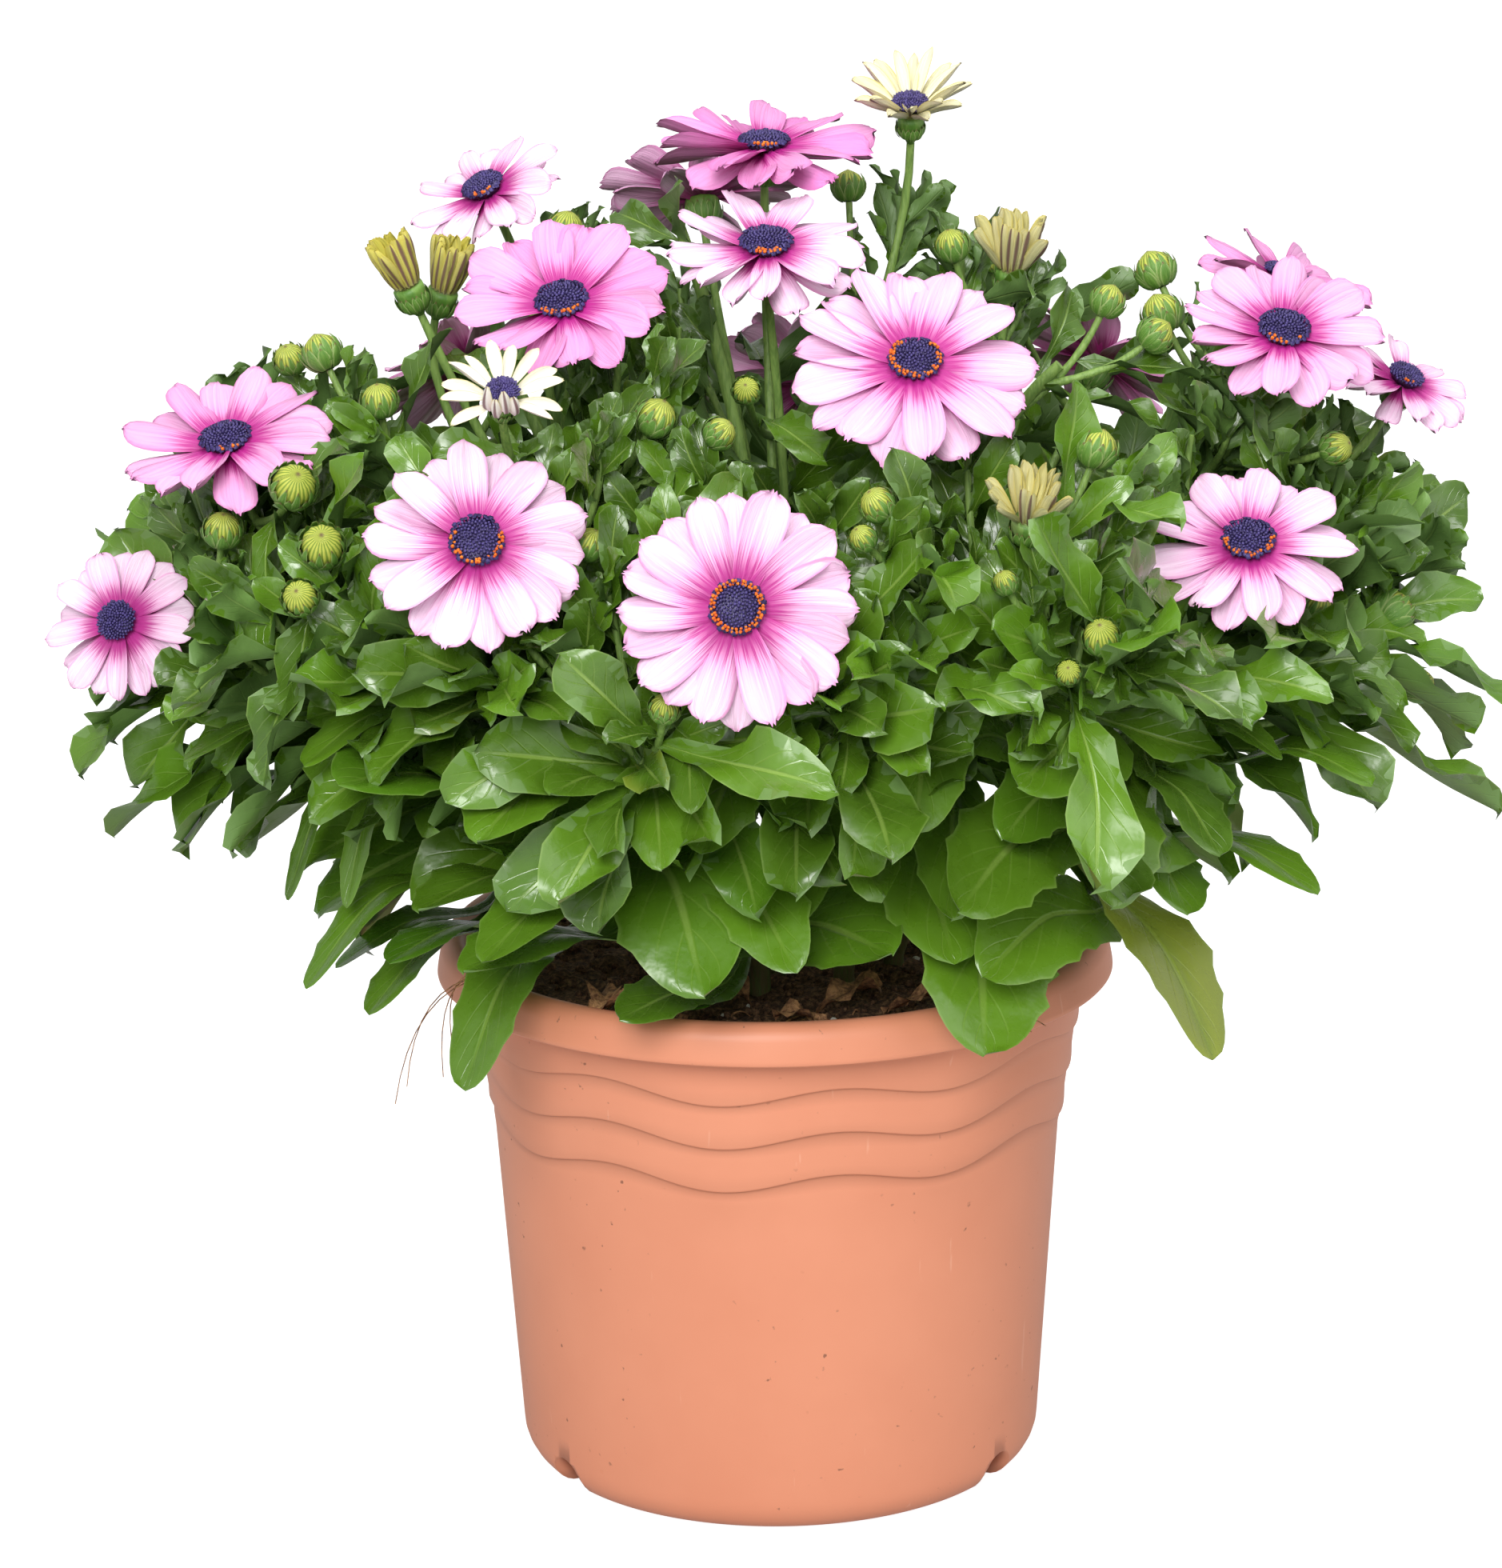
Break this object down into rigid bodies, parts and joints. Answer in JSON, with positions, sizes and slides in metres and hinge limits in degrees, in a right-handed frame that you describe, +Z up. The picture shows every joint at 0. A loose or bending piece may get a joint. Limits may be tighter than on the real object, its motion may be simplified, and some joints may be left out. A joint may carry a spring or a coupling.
{
  "type": "potted osteospermum",
  "caption": "Bushy osteospermum with pale pink daisy-like flowers, buds and toothed green leaves in a terracotta-coloured plastic nursery pot filled with soil.",
  "frame": {"origin": "on the pot's axis, on the surface that the pot stands on", "axes": "+Z up along the pot's axis, +X to the right seen from the plant's best side, -Y towards the viewer of that side"},
  "size_m": [0.355, 0.2799, 0.353],
  "materials": {
    "pot_plastic": "satin thin moulded plastic",
    "potting_soil": "moist, crumbly, matte",
    "foliage": "leaves with a soft sheen on light green stems",
    "ray_florets": "velvety petals, pale pink with a magenta base",
    "young_ray_florets": "young petals, pale yellow-green with brown-purple streaks",
    "disc_florets": "blue-violet florets with orange pollen"
  },
  "bodies": {
    "root": {"pot": "pot_plastic", "soil": "potting_soil", "leafy_stem_front": "foliage", "leafy_stem_front_left": "foliage", "leafy_stem_left": "foliage", "leafy_stem_upper_left": "foliage", "leafy_stem_left_back": "foliage", "leafy_stem_top": "foliage", "leafy_stem_mid_right": "foliage", "leafy_stem_front_right": "foliage", "leafy_stem_right": "foliage", "leafy_stem_upper_right": "foliage", "leafy_stem_back_right": "foliage", "leafy_stem_back": "foliage", "leafy_stem_back_left": "foliage", "rays_front": "ray_florets", "disc_front": "disc_florets", "rays_front_left": "ray_florets", "disc_front_left": "disc_florets", "rays_mid_right": "ray_florets", "disc_mid_right": "disc_florets", "rays_mid_left": "ray_florets", "disc_mid_left": "disc_florets", "rays_center_top": "ray_florets", "disc_center_top": "disc_florets", "rays_top": "ray_florets", "disc_top": "disc_florets", "rays_far_top_left": "ray_florets", "disc_far_top_left": "disc_florets", "rays_left": "ray_florets", "disc_left": "disc_florets", "rays_far_left": "ray_florets", "disc_far_left": "disc_florets", "rays_right": "ray_florets", "disc_right": "disc_florets", "rays_upper_right": "ray_florets", "disc_upper_right": "disc_florets", "rays_far_right": "ray_florets", "disc_far_right": "disc_florets", "rays_behind_right": "ray_florets", "disc_behind_right": "disc_florets", "rays_back_left": "ray_florets", "disc_back_left": "disc_florets", "rays_back": "ray_florets", "disc_back": "disc_florets", "rays_back_right": "ray_florets", "disc_back_right": "disc_florets", "rays_back_top": "ray_florets", "disc_back_top": "disc_florets", "rays_young_left": "young_ray_florets", "disc_young_left": "disc_florets", "rays_young_top": "young_ray_florets", "disc_young_top": "disc_florets", "rays_half_open_top": "young_ray_florets", "rays_half_open_right": "young_ray_florets", "rays_closing_left": "young_ray_florets", "rays_closing_right": "young_ray_florets"}
  },
  "joints": []
}
